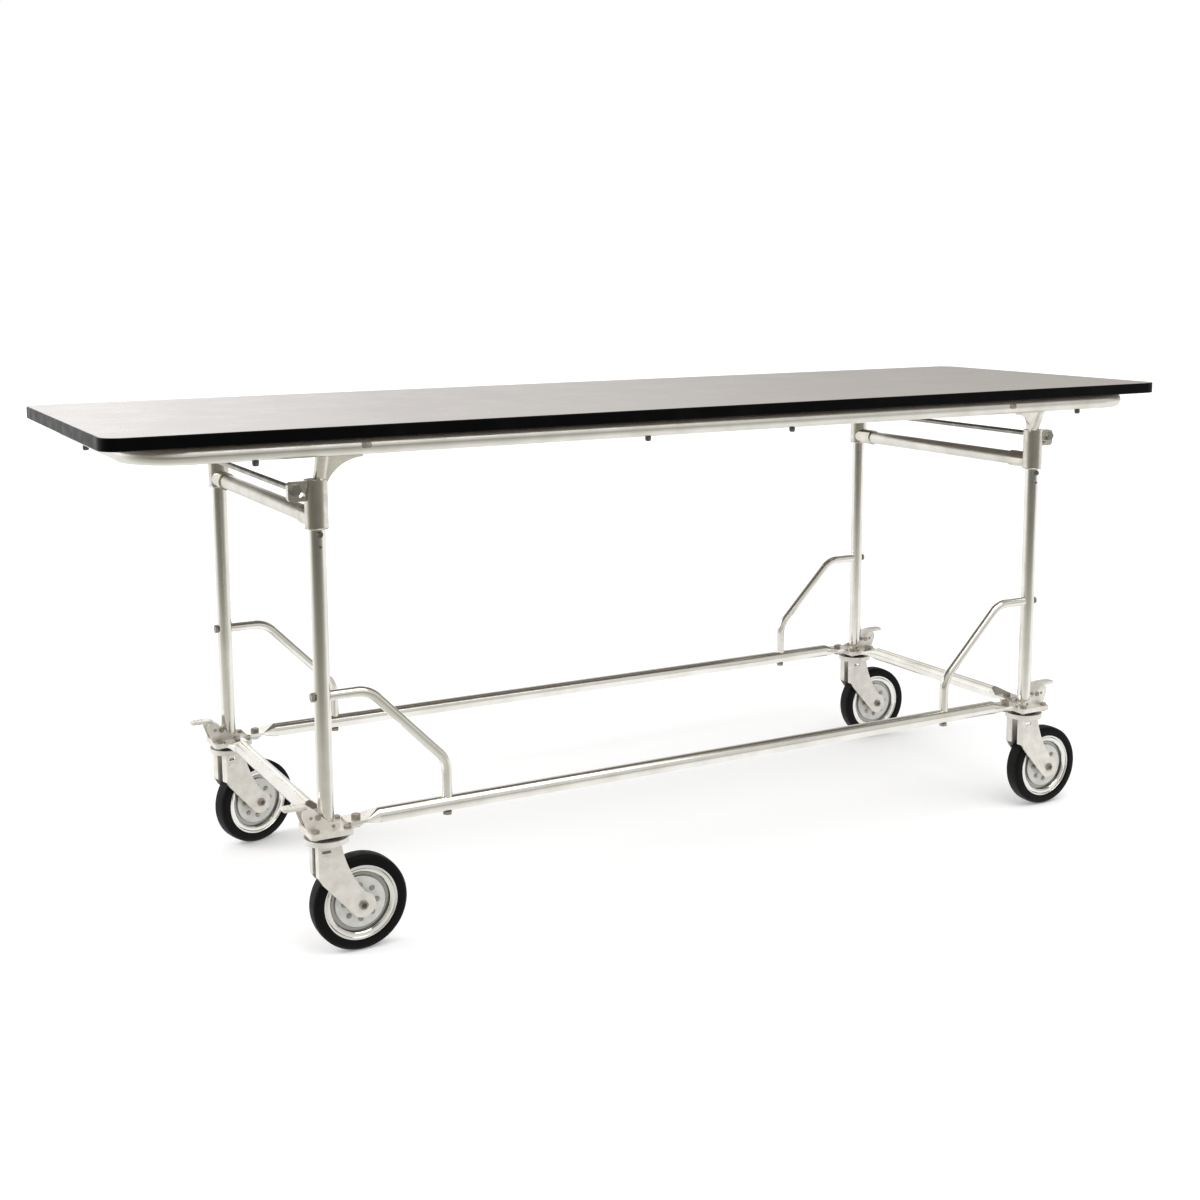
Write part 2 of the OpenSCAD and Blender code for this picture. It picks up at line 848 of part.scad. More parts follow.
module fork(corner) {
    flange = 12;
    long = 4 * fork_lead;
    slot = [14, 4.5];
    slot_place = [-8, crown_top - 18];
    boss_radius = 6.5;
    boss_rise = 1.2;
    boss_place = [-10, crown_top - 29];
    color([0.8, 0.79, 0.76])
        at_swivel(corner)
            difference() {
                union() {
                    intersection() {
                        rotate([90, 0, 0])
                            linear_extrude(2 * fork_outer, center = true)
                                fork_side();
                        translate([-long, 0, 0])
                            rotate([90, 0, 90])
                                linear_extrude(3 * long)
                                    fork_section();
                    }
                    for (side = [-1, 1])
                        translate([-fork_lead, side * (fork_inner - flange / 2), fork_bend_height])
                            translate([0, -flange / 2, 0])
                                cube([fork_sheet, flange, crown_top - crown_thickness - fork_bend_height]);
                    translate([0, 0, crown_top - crown_thickness])
                        cylinder(r = crown_radius, h = crown_thickness);
                    translate([0, 0, crown_top - crown_thickness - crown_lip])
                        pipe(crown_lip + 1, crown_radius, crown_radius - fork_sheet);
                    for (side = [-1, 1])
                        translate([boss_place[0], side * (fork_outer - 1), boss_place[1]])
                            rotate([-side * 90, 0, 0])
                                cylinder(r1 = boss_radius, r2 = boss_radius - 1, h = boss_rise + 1);
                }
                translate([0, 0, crown_top - 2 * crown_thickness])
                    cylinder(r = kingpin_radius + running, h = 4 * crown_thickness);
                translate([caster_trail, 2 * fork_outer, wheel_radius])
                    rotate([90, 0, 0])
                        cylinder(r = axle_radius + slip, h = 4 * fork_outer);
                for (side = [-1, 1])
                    translate([slot_place[0], side * fork_outer, slot_place[1]])
                        cube([slot[0], 2 * fork_sheet + 2, slot[1]], center = true);
            }
}

module axle(corner) {
    head = 3.5;
    head_radius = 5.5;
    color("dimgray")
        at_swivel(corner)
            translate([caster_trail, 0, wheel_radius])
                rotate([90, 0, 0]) {
                    cylinder(r = axle_radius, h = 2 * fork_outer + 2 * head + 2, center = true);
                    translate([0, 0, fork_outer + seat])
                        linear_extrude(head)
                            hexagon(2 * head_radius + 2);
                    translate([0, 0, -fork_outer - seat - head])
                        cylinder(r1 = head_radius, r2 = head_radius + 1.5, h = head);
                }
}

// Wheel: a flat riveted face, a step down to the groove, a bright rolled ring, and the thin
// flanges that hold the tyre
module wheel_profile() {
    hub_half = fork_inner - gap;
    groove_half = disc_half - 4;
    flange_radius = rim_radius - 2;
    roll_radius = 6;
    roll_place = [flange_radius - roll_radius + 1, rim_half - roll_radius - 0.5];
    hub = [[axle_radius + running, 0], [axle_radius + running, hub_half], [hub_radius - 1, hub_half],
           [hub_radius, hub_half - 1], [hub_radius, disc_half + 2], [hub_radius + 2, disc_half]];
    face = [[disc_radius - 1, disc_half], [disc_radius, disc_half - 1], [disc_radius, groove_half],
            [roll_place[0] - roll_radius, groove_half]];
    roll = [for (angle = [180 : -18 : 36]) roll_place + roll_radius * [cos(angle), sin(angle)]];
    rim = [[flange_radius, rim_half], [rim_radius - 1, rim_half], [rim_radius, rim_half - 1],
           [rim_radius, rim_half - rim_flange], [rim_seat_radius, rim_half - rim_flange],
           [rim_seat_radius, 0]];
    polygon(concat(hub, face, roll, rim));
}

module wheel(corner) {
    rivet_radius = 3.5;
    color([0.74, 0.76, 0.76])
        at_swivel(corner)
            translate([caster_trail, 0, wheel_radius])
                rotate([90, 0, 0]) {
                    rotate_extrude($fn = 96) {
                        wheel_profile();
                        mirror([0, 1])
                            wheel_profile();
                    }
                    for (spoke = [0 : 7])
                        rotate([0, 0, spoke * 45 + 90])
                            translate([rivet_circle, 0, 0])
                                cylinder(r = rivet_radius, h = 2 * disc_half + 3, center = true);
                }
}

module tyre_profile() {
    half = tyre_width / 2;
    side = wheel_radius - 9;
    intersection() {
        union() {
            translate([rim_seat_radius + slip, 0])
                square([wheel_radius, rim_half - rim_flange - slip]);
            translate([rim_radius + slip, 0])
                square([wheel_radius, half]);
        }
        union() {
            square([side, half]);
            translate([side - 2, 0])
                square([wheel_radius - side + 2, half - 9]);
            translate([side, half - 9])
                circle(r = 9);
        }
        translate([wheel_radius - 90, 0])
            circle(r = 90, $fn = 128);
        translate([wheel_radius - 12, half - 34])
            circle(r = 34, $fn = 128);
    }
}

module tyre(corner) {
    color([0.06, 0.06, 0.07])
        at_swivel(corner)
            translate([caster_trail, 0, wheel_radius])
                rotate([90, 0, 0])
                    rotate_extrude($fn = 96) {
                        tyre_profile();
                        mirror([0, 1])
                            tyre_profile();
                    }
}

// Foot pedal: hub between the ears, nose over the lock pin, pad beyond the bracket
module pedal_side() {
    translate([pivot_reach, pivot_height])
        circle(r = pedal_hub);
    translate([pin_reach, nose_height])
        circle(r = nose_radius);
    polygon([[pivot_reach, pivot_height - pedal_hub], [pin_reach, nose_height - nose_radius],
             [pin_reach + nose_radius, nose_height], [pad_start + 8, pad_top - pad_thickness],
             [pad_end - 2.5, pad_top - pad_thickness], [pad_end - 2.5, pad_top], [pad_start + 5, pad_top],
             [pivot_reach - 1, pivot_height + pedal_hub - 0.2]]);
    translate([pad_end - 2.5, pad_top - pad_thickness / 2])
        circle(r = pad_thickness / 2);
}

module pedal(corner) {
    hub_half = ear_inner - gap;
    pad_half = pedal_width / 2;
    pad_round = 8;
    color([0.8, 0.78, 0.75])
        at_corner(corner)
            difference() {
                intersection() {
                    rotate([90, 0, 0])
                        linear_extrude(2 * hub_half, center = true)
                            pedal_side();
                    linear_extrude(top_height) {
                        translate([0, -hub_half])
                            square([pad_start + 3, 2 * hub_half]);
                        translate([pad_start, -pad_half])
                            square([pad_end - pad_start - pad_round, 2 * pad_half]);
                        translate([pad_end - pad_round - 1, -pad_half + pad_round])
                            square([pad_round + 1, 2 * (pad_half - pad_round)]);
                        for (y = [-1, 1])
                            translate([pad_end - pad_round, y * (pad_half - pad_round)])
                                circle(r = pad_round);
                    }
                }
                translate([pivot_reach, 2 * frame_tube, pivot_height])
                    rotate([90, 0, 0])
                        cylinder(r = pivot_radius + running, h = 4 * frame_tube);
                for (rib = [1 : 3])
                    translate([pad_end - 3 - 6 * rib, 0, pad_top])
                        cube([2, 2 * pad_half - 5, 2], center = true);
            }
}

module lock_pin(corner) {
    color("gray")
        at_corner(corner)
            translate([pin_reach, 0, 0]) {
                translate([0, 0, pin_tip])
                    cylinder(r = pin_radius, h = pin_top - pin_tip - 1);
                translate([0, 0, pin_tip - 0.01])
                    cylinder(r = pin_radius - 0.5, h = 1);
                translate([0, 0, pin_top - pin_head])
                    cylinder(r = pin_head_radius, h = pin_head);
            }
}

table_board();
top_laminate();
edge_moulding();
hoop_side(-1);  // hoop_front
hoop_side(1);  // hoop_back
hoop_end(-1);  // hoop_left
hoop_end(1);  // hoop_right
board_screws();
leg_socket(front_left);  // leg_socket_front_left
leg_socket(back_left);  // leg_socket_back_left
leg_socket(front_right);  // leg_socket_front_right
leg_socket(back_right);  // leg_socket_back_right
leg(front_left);  // leg_front_left
leg(back_left);  // leg_back_left
leg(front_right);  // leg_front_right
leg(back_right);  // leg_back_right
cross_member(-1);  // cross_tube_left
cross_member(1);  // cross_tube_right
tie_rod_bar(-1);  // tie_rod_left
tie_rod_bar(1);  // tie_rod_right
leg_screws();
brace(front_left);  // brace_front_left
brace(back_left);  // brace_back_left
brace(front_right);  // brace_front_right
brace(back_right);  // brace_back_right
frame_bolts();
side_rail(-1);  // side_rail_front
side_rail(1);  // side_rail_back
end_rail(-1);  // end_rail_left
end_rail(1);  // end_rail_right
corner_plates();
pedal_brackets();
pedal_pins();
caster_plates();
caster_bolts();
kingpins();
fork(front_left);  // fork_front_left
fork(back_left);  // fork_back_left
fork(front_right);  // fork_front_right
fork(back_right);  // fork_back_right
axle(front_left);  // axle_front_left
axle(back_left);  // axle_back_left
axle(front_right);  // axle_front_right
axle(back_right);  // axle_back_right
wheel(front_left);  // wheel_front_left
wheel(back_left);  // wheel_back_left
wheel(front_right);  // wheel_front_right
wheel(back_right);  // wheel_back_right
tyre(front_left);  // tyre_front_left
tyre(back_left);  // tyre_back_left
tyre(front_right);  // tyre_front_right
tyre(back_right);  // tyre_back_right
pedal(front_left);  // pedal_front_left
pedal(back_left);  // pedal_back_left
pedal(front_right);  // pedal_front_right
pedal(back_right);  // pedal_back_right
lock_pin(front_left);  // lock_pin_front_left
lock_pin(back_left);  // lock_pin_back_left
lock_pin(front_right);  // lock_pin_front_right
lock_pin(back_right);  // lock_pin_back_right
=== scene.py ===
import json
import math

import bpy
import numpy as np
from mathutils import Matrix, Vector


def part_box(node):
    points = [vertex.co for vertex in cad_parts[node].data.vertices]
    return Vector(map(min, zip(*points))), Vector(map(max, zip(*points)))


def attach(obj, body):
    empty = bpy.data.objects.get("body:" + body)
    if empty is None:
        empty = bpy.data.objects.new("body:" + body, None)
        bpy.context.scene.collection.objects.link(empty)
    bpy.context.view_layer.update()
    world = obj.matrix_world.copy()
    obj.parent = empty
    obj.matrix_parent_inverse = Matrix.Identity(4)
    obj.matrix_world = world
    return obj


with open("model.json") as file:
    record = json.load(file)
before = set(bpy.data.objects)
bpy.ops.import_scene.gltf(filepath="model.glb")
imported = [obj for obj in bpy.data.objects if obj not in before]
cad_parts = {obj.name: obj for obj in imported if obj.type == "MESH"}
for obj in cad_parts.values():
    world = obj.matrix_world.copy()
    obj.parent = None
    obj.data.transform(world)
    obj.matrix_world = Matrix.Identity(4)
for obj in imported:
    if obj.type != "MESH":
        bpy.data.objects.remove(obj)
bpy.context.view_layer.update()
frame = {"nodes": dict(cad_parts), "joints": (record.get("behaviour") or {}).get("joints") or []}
scene = bpy.context.scene
print("treatment table: frame loaded, %d nodes" % len(frame["nodes"]))

corners = ("front_left", "back_left", "front_right", "back_right")


# Camera: the photograph's place, 1.04 m up at the table's left front
camera = {
    "place": (-1.4352, -2.5283, 1.0408),
    "heading": 28.48,       # degrees from +Y towards +X
    "dip": 8.40,            # degrees below level
    "roll": -0.28,
    "lens": 48.43,          # mm, on a sensor of the next width
    "sensorWidth": 36,
    "shiftDown": 0.080,     # in sensor widths
    "farthest": 60,
}


# Forward is (sin h cos d, cos h cos d, -sin d). Right lies level, up is across both, and the roll turns them.
def addCamera():
    heading, dip, roll = (math.radians(camera[name]) for name in ("heading", "dip", "roll"))
    forward = Vector((math.sin(heading) * math.cos(dip), math.cos(heading) * math.cos(dip), -math.sin(dip)))
    right = Vector((math.cos(heading), -math.sin(heading), 0))
    up = right.cross(forward)
    tiltedRight = math.cos(roll) * right + math.sin(roll) * up
    tiltedUp = math.cos(roll) * up - math.sin(roll) * right
    data = bpy.data.cameras.new("photoCamera")
    data.sensor_width = camera["sensorWidth"]
    data.sensor_fit = "HORIZONTAL"
    data.lens = camera["lens"]
    data.shift_y = -camera["shiftDown"]
    data.clip_end = camera["farthest"]
    rig = bpy.data.objects.new("photoCamera", data)
    turn = Matrix((tiltedRight, tiltedUp, -forward)).transposed().to_4x4()
    rig.matrix_world = Matrix.Translation(camera["place"]) @ turn
    scene.collection.objects.link(rig)
    scene.camera = rig


addCamera()
print("camera set")


# sRGB hex to linear: a channel c becomes c / 12.92 up to 0.04045, else ((c + 0.055) / 1.055) to the power 2.4
def hexColour(text):
    channels = [int(text[i:i + 2], 16) / 255 for i in (1, 3, 5)]
    return tuple(c / 12.92 if c <= 0.04045 else ((c + 0.055) / 1.055) ** 2.4 for c in channels) + (1.0,)


def addNode(tree, kind, values=None, links=None, **settings):
    node = tree.nodes.new(kind)
    for name, value in settings.items():
        setattr(node, name, value)
    for socket, value in (values or {}).items():
        node.inputs[socket].default_value = value
    for socket, source in (links or {}).items():
        tree.links.new(source, node.inputs[socket])
    return node


# A material with a Principled surface, and the object's own points for its patterns
def startMaterial(name):
    material = bpy.data.materials.new(name)
    material.use_nodes = True
    tree = material.node_tree
    tree.nodes.clear()
    shader = addNode(tree, "ShaderNodeBsdfPrincipled")
    addNode(tree, "ShaderNodeOutputMaterial", links={"Surface": shader.outputs[0]})
    points = addNode(tree, "ShaderNodeTexCoord").outputs["Object"]
    return material, tree, shader, points


# Noise with features about sizeMm across (its scale is 1000 / sizeMm per metre), stretched from its usual
# range to fill 0 to 1
def mottle(tree, points, sizeMm, detail=3, usual=(0.3, 0.7)):
    grain = addNode(tree, "ShaderNodeTexNoise", {"Scale": 1000 / sizeMm, "Detail": detail},
                    {"Vector": points})
    return addNode(tree, "ShaderNodeMapRange", {"From Min": usual[0], "From Max": usual[1]},
                   {"Value": grain.outputs[0]}).outputs[0]


# Base colour: under where the mask is 0, over where it is 1. Each is a hex text or an earlier result.
# A colour Mix takes them in sockets 6 and 7 and gives output 2. A number Mix takes 2 and 3.
def layColours(tree, shader, mask, under, over):
    layers = addNode(tree, "ShaderNodeMix", links={0: mask}, data_type="RGBA")
    for socket, colour in ((6, under), (7, over)):
        if isinstance(colour, str):
            layers.inputs[socket].default_value = hexColour(colour)
        else:
            tree.links.new(colour, layers.inputs[socket])
    tree.links.new(layers.outputs[2], shader.inputs["Base Color"])
    return layers.outputs[2]


# Roughness: from the first limit to the second as the mask goes from 0 to 1
def layRoughness(tree, shader, mask, limits):
    rough = addNode(tree, "ShaderNodeMapRange", {"To Min": limits[0], "To Max": limits[1]}, {"Value": mask})
    tree.links.new(rough.outputs[0], shader.inputs["Roughness"])


# Relief: noise with features about sizeMm across, as a bump that is depthMm deep at full strength
def layRelief(tree, shader, points, sizeMm, strength, depthMm, detail=3):
    grain = addNode(tree, "ShaderNodeTexNoise", {"Scale": 1000 / sizeMm, "Detail": detail},
                    {"Vector": points})
    bump = addNode(tree, "ShaderNodeBump", {"Strength": strength, "Distance": depthMm / 1000},
                   {"Height": grain.outputs[0]})
    tree.links.new(bump.outputs[0], shader.inputs["Normal"])


# Laminate: high-pressure decor laminate, pressed on a fine textured plate, so it is satin with a soft glare
laminate = {
    "pale": "#9a938e",
    "deep": "#958e89",
    "speck": {"mm": 2.2, "detail": 2},      # drawn coarser than the real one, to show
    "cloud": {"mm": 160, "detail": 4},
    "speckledRange": (0.15, 0.35),
    "rough": (0.21, 0.25),
    "roughMm": 90,
    "plateMm": 1.1,
    "plateStrength": 0.12,
    "plateDepthMm": 0.4,
}


def makeLaminate():
    material, tree, shader, points = startMaterial("satinDecorLaminate")
    cloud, speck = (addNode(tree, "ShaderNodeTexNoise",
                            {"Scale": 1000 / laminate[name]["mm"], "Detail": laminate[name]["detail"]},
                            {"Vector": points}).outputs[0] for name in ("cloud", "speck"))
    speckled = addNode(tree, "ShaderNodeMath", links={0: cloud, 1: speck}, operation="MULTIPLY").outputs[0]
    low, high = laminate["speckledRange"]
    mask = addNode(tree, "ShaderNodeMapRange", {"From Min": low, "From Max": high}, {"Value": speckled})
    layColours(tree, shader, mask.outputs[0], laminate["deep"], laminate["pale"])
    layRoughness(tree, shader, mottle(tree, points, laminate["roughMm"]), laminate["rough"])
    layRelief(tree, shader, points, laminate["plateMm"], laminate["plateStrength"], laminate["plateDepthMm"])
    return material


# Backer sheet under the core: brown phenolic paper, sanded dull along the board
backer = {
    "paper": "#5f574e",
    "rubbed": "#6f665b",
    "rough": 0.55,
    "sandMm": 1.5,
    "sandStretch": (0.04, 1, 1),            # streaks 25 times as long as they are wide
    "sandStrength": 0.2,
    "sandDepthMm": 0.2,
}


def makeBacker():
    material, tree, shader, points = startMaterial("phenolicBackerSheet")
    mapping = addNode(tree, "ShaderNodeMapping", {"Scale": backer["sandStretch"]}, {"Vector": points})
    sanded = mapping.outputs[0]
    layColours(tree, shader, mottle(tree, sanded, backer["sandMm"]), backer["paper"], backer["rubbed"])
    shader.inputs["Roughness"].default_value = backer["rough"]
    layRelief(tree, shader, sanded, backer["sandMm"], backer["sandStrength"], backer["sandDepthMm"])
    return material


# Edge moulding: extruded black vinyl, faintly drawn along its length, with rubbed high spots
moulding = {
    "vinyl": "#020203",
    "rubbed": "#070708",
    "rubMm": 55,
    "rubDetail": 5,
    "rubRange": (0.5, 0.75),
    "rough": (0.3, 0.42),
    "roughMm": 25,
    "sheen": 0.08,
    "lineMm": 0.9,
    "lineStretch": (0.01, 0.01, 1),         # lines 100 times as long as they are wide
    "lineStrength": 0.15,
    "lineDepthMm": 0.2,
}


def makeMoulding():
    material, tree, shader, points = startMaterial("extrudedBlackVinyl")
    rub = mottle(tree, points, moulding["rubMm"], moulding["rubDetail"], moulding["rubRange"])
    layColours(tree, shader, rub, moulding["vinyl"], moulding["rubbed"])
    layRoughness(tree, shader, mottle(tree, points, moulding["roughMm"]), moulding["rough"])
    shader.inputs["Specular IOR Level"].default_value = moulding["sheen"]
    drawn = addNode(tree, "ShaderNodeMapping", {"Scale": moulding["lineStretch"]}, {"Vector": points})
    layRelief(tree, shader, drawn.outputs[0], moulding["lineMm"], moulding["lineStrength"],
              moulding["lineDepthMm"])
    return material


# Metals, one finish in each dictionary. Chrome on tube mirrors softly, and on the hoop and the cross tubes it
# is satin. Nickel on the cast sockets keeps a little of the mould's grain, zinc on pressed sheet is pale and
# cloudy, and bolts and screws are dull.
metals = {
    "chromedTube": {"bright": "#f9f7f2", "worn": "#e9e6dc", "metallic": 1, "rough": (0.16, 0.23),
                    "grainMm": 6, "bump": 0.02, "patchMm": 70},
    "satinChromedTube": {"bright": "#f2f0ea", "worn": "#dfdcd2", "metallic": 1, "rough": (0.32, 0.4),
                         "grainMm": 5, "bump": 0.03, "patchMm": 60},
    "drawnSteelRod": {"bright": "#b4b3ad", "worn": "#908e87", "metallic": 1, "rough": (0.25, 0.34),
                      "grainMm": 3, "bump": 0.05, "patchMm": 30},
    "nickelCasting": {"bright": "#ece8de", "worn": "#d2cdc2", "metallic": 1, "rough": (0.19, 0.27),
                      "grainMm": 1.6, "bump": 0.08, "patchMm": 20},
    "zincPressing": {"bright": "#edeae3", "worn": "#dcd7cd", "metallic": 0.5, "rough": (0.3, 0.42),
                     "grainMm": 2.2, "bump": 0.08, "patchMm": 16},
    "dulledZincBolt": {"bright": "#b3aba0", "worn": "#8b8379", "metallic": 0.7, "rough": (0.35, 0.5),
                       "grainMm": 0.9, "bump": 0.12, "patchMm": 5},
    "darkenedSteel": {"bright": "#827e79", "worn": "#5b5853", "metallic": 0.9, "rough": (0.32, 0.46),
                      "grainMm": 0.9, "bump": 0.15, "patchMm": 5},
}
metalPatch = {"detail": 4, "reliefMm": 0.3}


def makeMetal(name, values):
    material, tree, shader, points = startMaterial(name)
    patch = mottle(tree, points, values["patchMm"], metalPatch["detail"])
    colour = layColours(tree, shader, patch, values["bright"], values["worn"])
    shader.inputs["Metallic"].default_value = values["metallic"]
    layRoughness(tree, shader, patch, values["rough"])
    layRelief(tree, shader, points, values["grainMm"], values["bump"], metalPatch["reliefMm"])
    return material, tree, shader, points, colour


# The caster's plate is zinc plated, and under it the race is bare steel, painted dark as shade for the gap
race = {"paintedGapShade": "#4a453f", "plateBottom": 0.1951}      # metres above the floor


def makeRacePlate():
    material, tree, shader, points, zinc = makeMetal("zincPlateOverShadedRace", metals["zincPressing"])
    height = addNode(tree, "ShaderNodeSeparateXYZ", links={0: points}).outputs["Z"]
    onPlate = addNode(tree, "ShaderNodeMath", {1: race["plateBottom"]}, {0: height}, operation="GREATER_THAN")
    # Below the plate's bottom the colour is painted shade, dark like the shadowed gap under the plate
    layColours(tree, shader, onPlate.outputs[0], race["paintedGapShade"], zinc)
    return material


# Wheels turn about their own axles, so their finishes are worked out from the distance to the axle
def axleOf(corner):
    joint = next(j for j in frame["joints"] if j["name"] == "spin_" + corner)
    return Vector(joint["pos_m"]), Vector(joint["axis"])


# Distance from a line: the length of the cross product of (point - centre) and the line's unit direction
def radiusFromAxle(tree, points, corner):
    centre, axis = axleOf(corner)
    arm = addNode(tree, "ShaderNodeVectorMath", {1: centre}, {0: points}, operation="SUBTRACT").outputs[0]
    across = addNode(tree, "ShaderNodeVectorMath", {1: axis}, {0: arm}, operation="CROSS_PRODUCT").outputs[0]
    return addNode(tree, "ShaderNodeVectorMath", links={0: across}, operation="LENGTH").outputs["Value"]


# Steel disc, zinc plated and spun: a satin face, painted shade in the groove round it, and a brightly
# burnished roll
disc = {
    "face": "#e0e0db",
    "dull": "#d0d0ca",
    "groove": "#a09e98",
    "roll": "#efeee9",
    "grooveStart": 0.0405,                  # metres from the axle
    "rollStart": 0.0475,
    "patchMm": 14,
    "patchDetail": 4,
    "satin": (0.34, 0.46),                  # roughness of the face
    "burnished": 0.13,                      # and of the groove and the roll
    "faceMetallic": 0.35,
    "turningMm": 1.6,                       # drawn coarser than real turning marks
    "turningStrength": 0.02,
    "turningDepthMm": 0.2,
}


# Turning marks: the sine of 2 pi times the radius over the marks' spacing
def makeDisc(corner):
    material, tree, shader, points = startMaterial("spunZincDisc_" + corner)
    radius = radiusFromAxle(tree, points, corner)
    pastFace, onRoll = (addNode(tree, "ShaderNodeMath", {1: disc[start]}, {0: radius},
                                operation="GREATER_THAN").outputs[0]
                        for start in ("grooveStart", "rollStart"))
    patch = mottle(tree, points, disc["patchMm"], disc["patchDetail"])
    face = layColours(tree, shader, patch, disc["face"], disc["dull"])
    # The groove's darker colour is painted shade in the recess between the face and the roll
    inner = layColours(tree, shader, pastFace, face, disc["groove"])
    layColours(tree, shader, onRoll, inner, disc["roll"])
    metallic = addNode(tree, "ShaderNodeMapRange", {"To Min": disc["faceMetallic"]}, {"Value": pastFace})
    tree.links.new(metallic.outputs[0], shader.inputs["Metallic"])
    low, high = disc["satin"]
    satin = addNode(tree, "ShaderNodeMapRange", {"To Min": low, "To Max": high}, {"Value": patch}).outputs[0]
    rough = addNode(tree, "ShaderNodeMix", {3: disc["burnished"]}, {0: pastFace, 2: satin})
    tree.links.new(rough.outputs[0], shader.inputs["Roughness"])
    angle = addNode(tree, "ShaderNodeMath", {1: 2 * math.pi * 1000 / disc["turningMm"]}, {0: radius},
                    operation="MULTIPLY").outputs[0]
    marks = addNode(tree, "ShaderNodeMath", links={0: angle}, operation="SINE").outputs[0]
    bump = addNode(tree, "ShaderNodeBump",
                   {"Strength": disc["turningStrength"], "Distance": disc["turningDepthMm"] / 1000},
                   {"Height": marks})
    tree.links.new(bump.outputs[0], shader.inputs["Normal"])
    return material


# The axle's zinc plated head and nut, with the bare steel end of the axle in their middle
axleEnd = {"bare": "#57534e", "bareRadius": 0.0042}


def makeAxle(corner):
    material, tree, shader, points, zinc = makeMetal("zincNutOnSteelAxle_" + corner, metals["dulledZincBolt"])
    onNut = addNode(tree, "ShaderNodeMath", {1: axleEnd["bareRadius"]},
                    {0: radiusFromAxle(tree, points, corner)}, operation="GREATER_THAN")
    layColours(tree, shader, onNut.outputs[0], axleEnd["bare"], zinc)
    return material


# Tyre: solid moulded rubber, matt black, dusted grey where the tread meets the floor
tyre = {
    "rubber": "#030303",
    "dust": "#171615",
    "dustiest": 0.8,
    "tread": (0.0738, 0.0758),              # metres from the axle, over which the dust sets in
    "scuffMm": 7,
    "scuffDetail": 6,
    "rough": (0.45, 0.65),
    "sheen": 0.16,
    "poreMm": 0.8,
    "poreStrength": 0.15,
    "poreDepthMm": 0.3,
}


def makeTyre(corner):
    material, tree, shader, points = startMaterial("mouldedTyreRubber_" + corner)
    radius = radiusFromAxle(tree, points, corner)
    start, end = tyre["tread"]
    tread = addNode(tree, "ShaderNodeMapRange", {"From Min": start, "From Max": end}, {"Value": radius})
    scuff = mottle(tree, points, tyre["scuffMm"], tyre["scuffDetail"])
    patchy = addNode(tree, "ShaderNodeMath", {1: tyre["dustiest"]}, {0: scuff}, operation="MULTIPLY")
    dusty = addNode(tree, "ShaderNodeMath", links={0: tread.outputs[0], 1: patchy.outputs[0]},
                    operation="MULTIPLY")
    layColours(tree, shader, dusty.outputs[0], tyre["rubber"], tyre["dust"])
    layRoughness(tree, shader, scuff, tyre["rough"])
    shader.inputs["Specular IOR Level"].default_value = tyre["sheen"]
    layRelief(tree, shader, points, tyre["poreMm"], tyre["poreStrength"], tyre["poreDepthMm"])
    return material


def dress(node, material):
    for slot in frame["nodes"][node].material_slots:
        slot.material = material


finishes = {name: makeMetal(name, values)[0] for name, values in metals.items()}
metalNodes = {
    "satinChromedTube": ("hoop_front", "hoop_back", "hoop_left", "hoop_right", "cross_tube_left",
                         "cross_tube_right"),
    "chromedTube": ("side_rail_front", "side_rail_back", "end_rail_left", "end_rail_right"),
    "drawnSteelRod": ("tie_rod_left", "tie_rod_right"),
    "zincPressing": ("corner_plates", "pedal_brackets"),
    "dulledZincBolt": ("frame_bolts", "pedal_pins", "caster_bolts", "kingpins"),
    "darkenedSteel": ("board_screws", "leg_screws"),
}
cornerNodes = {                             # each name is followed by the corner's
    "chromedTube": ("leg_", "brace_"),
    "nickelCasting": ("leg_socket_",),
    "zincPressing": ("fork_", "pedal_"),
    "dulledZincBolt": ("lock_pin_",),
}

dress("top_laminate", makeLaminate())
dress("table_board", makeBacker())
dress("edge_moulding", makeMoulding())
dress("caster_plates", makeRacePlate())
for finish, nodes in metalNodes.items():
    for node in nodes:
        dress(node, finishes[finish])
for corner in corners:
    for finish, nodes in cornerNodes.items():
        for node in nodes:
            dress(node + corner, finishes[finish])
    dress("axle_" + corner, makeAxle(corner))
    dress("wheel_" + corner, makeDisc(corner))
    dress("tyre_" + corner, makeTyre(corner))
print("materials set")


# Small pieces that the frame leaves out. Most are a rounded block: rows of points that each go once round,
# between a low and a high end point. Four neighbours make a face, and each end is closed by a fan.
def closedFaces(rows, columns):
    row, column = np.meshgrid(np.arange(rows - 1), np.arange(columns), indexing="ij")
    start = 1 + row * columns
    after = (column + 1) % columns
    quads = np.stack((start + column, start + after, start + columns + after, start + columns + column), -1)
    around = np.arange(columns)
    turned = (around + 1) % columns
    last = 1 + (rows - 1) * columns
    low = np.stack((np.zeros(columns, int), 1 + turned, 1 + around), -1)
    high = np.stack((np.full(columns, last + columns), last + around, last + turned), -1)
    return quads.reshape(-1, 4), np.concatenate((low, high))


# A number's size raised to a power, with the number's sign
def signedPower(value, power):
    return np.sign(value) * np.abs(value) ** power


# The block: at latitude w and longitude q, with signed powers p (up) and s (round),
# x = a p(cos w) s(cos q), y = b p(cos w) s(sin q), z = c p(sin w)
def blockPoints(values):
    rows, columns = values["rows"], values["columns"]
    latitude = np.linspace(-np.pi / 2, np.pi / 2, rows + 2)[1:-1, None]
    longitude = np.linspace(0, 2 * np.pi, columns, endpoint=False)[None, :]
    width = signedPower(np.cos(latitude), values["upPower"])
    grid = np.stack((width * signedPower(np.cos(longitude), values["roundPower"]),
                     width * signedPower(np.sin(longitude), values["roundPower"]),
                     signedPower(np.sin(latitude), values["upPower"]) * np.ones_like(longitude)), -1)
    return np.concatenate(([(0, 0, -1)], grid.reshape(-1, 3), [(0, 0, 1)])) * values["halfSizes"]


